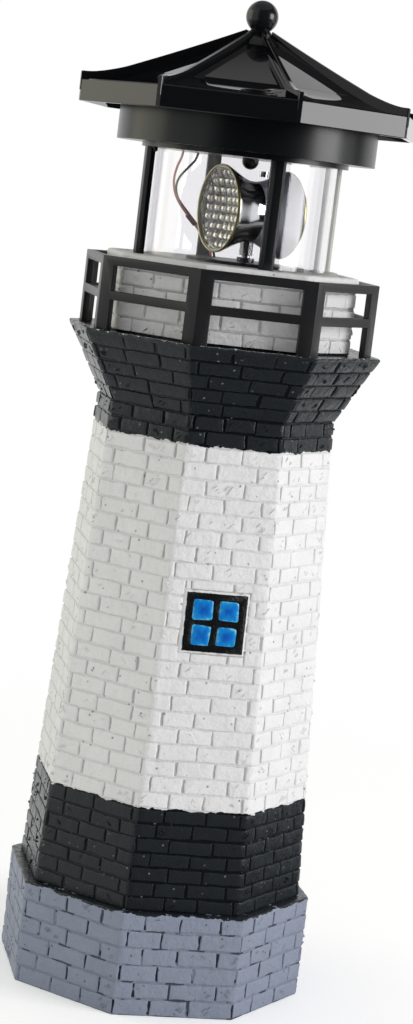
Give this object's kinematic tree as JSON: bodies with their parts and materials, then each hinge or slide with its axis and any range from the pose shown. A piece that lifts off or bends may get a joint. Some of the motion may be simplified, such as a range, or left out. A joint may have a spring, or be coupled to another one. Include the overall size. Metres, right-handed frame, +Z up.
{
  "type": "garden lighthouse ornament",
  "caption": "Free-standing hollow octagonal lighthouse with brick relief, gallery railing, lift-off lantern with ribbed roof and a spinning twin-reflector beacon.",
  "frame": {"origin": "on the ground, at the centre of the underside", "axes": "+Z up along the tower, -Y out of the face with the window"},
  "size_m": [0.126, 0.126, 0.36],
  "materials": {
    "cast_stone": "painted cast resin stone",
    "black_plastic": "glossy black",
    "blue_pane": "translucent blue",
    "white_plastic": "matt white",
    "clear_plastic": "clear",
    "solar_plate": "dark mirror-smooth plate",
    "board": "green laminate",
    "steel": "plain",
    "battery_wrap": "plain wrapper",
    "switch_case": "moulded",
    "lamp_resin": "clear resin",
    "red_insulation": "vinyl",
    "black_insulation": "vinyl",
    "sleeve": "shrink sleeve",
    "gear_plastic": "natural acetal",
    "chrome": "mirror",
    "bezel_gold": "pale gold"
  },
  "bodies": {
    "tower": {"tower_casting": "cast_stone", "window_frame": "black_plastic", "window_glazing": "blue_pane", "gallery_railing": "black_plastic"},
    "lantern": {"lantern_floor": "white_plastic", "cage_post_1": "white_plastic", "cage_post_2": "black_plastic", "cage_post_3": "black_plastic", "cage_post_4": "black_plastic", "clear_tube": "clear_plastic", "upper_collar": "black_plastic", "ceiling_boss": "black_plastic", "roof_housing": "black_plastic", "roof_shell": "black_plastic", "solar_cell_1": "solar_plate", "solar_cell_2": "solar_plate", "solar_cell_3": "solar_plate", "solar_cell_4": "solar_plate", "solar_cell_5": "solar_plate", "solar_cell_6": "solar_plate", "solar_cell_7": "solar_plate", "solar_cell_8": "solar_plate", "finial_ball": "black_plastic", "drive_lid": "black_plastic", "shaft_bush": "steel", "drive_housing": "black_plastic", "circuit_board": "board", "motor": "steel", "battery": "battery_wrap", "battery_contact": "steel", "battery_spring": "steel", "bottom_cap": "black_plastic", "cap_screws": "steel", "switch_body": "switch_case", "led_post": "steel", "led_lamp": "lamp_resin", "red_wire": "red_insulation", "black_wire": "black_insulation", "splice_sleeve": "sleeve"},
    "beacon": {"beacon_shaft": "steel", "beacon_stem": "clear_plastic", "spin_gear": "gear_plastic", "reflector_left": "chrome", "lens_left": "clear_plastic", "bezel_left": "bezel_gold", "reflector_right": "chrome", "lens_right": "clear_plastic", "bezel_right": "bezel_gold", "reflector_clip": "chrome"},
    "pinion": {"motor_pinion": "gear_plastic"},
    "knob": {"switch_knob": "white_plastic"}
  },
  "joints": [
    {"name": "lantern_lift", "type": "slide", "parent": "tower", "child": "lantern", "axis": [0, 0, 1], "range_m": [0, 0.07]},
    {"name": "beacon_spin", "type": "hinge", "parent": "lantern", "child": "beacon", "pos_m": [0.0044, -0.0009, 0.2852], "axis": [0, 0, 1], "continuous": true},
    {"name": "pinion_spin", "type": "hinge", "parent": "lantern", "child": "pinion", "pos_m": [0.0165, -0.0009, 0.2595], "axis": [0, 0, 1], "continuous": true},
    {"name": "switch_slide", "type": "slide", "parent": "lantern", "child": "knob", "axis": [0, 1, 0], "range_m": [0, 0.003]}
  ],
  "couplings": [
    {"joint": "pinion_spin", "follows": "beacon_spin", "ratio": -2.6667}
  ]
}
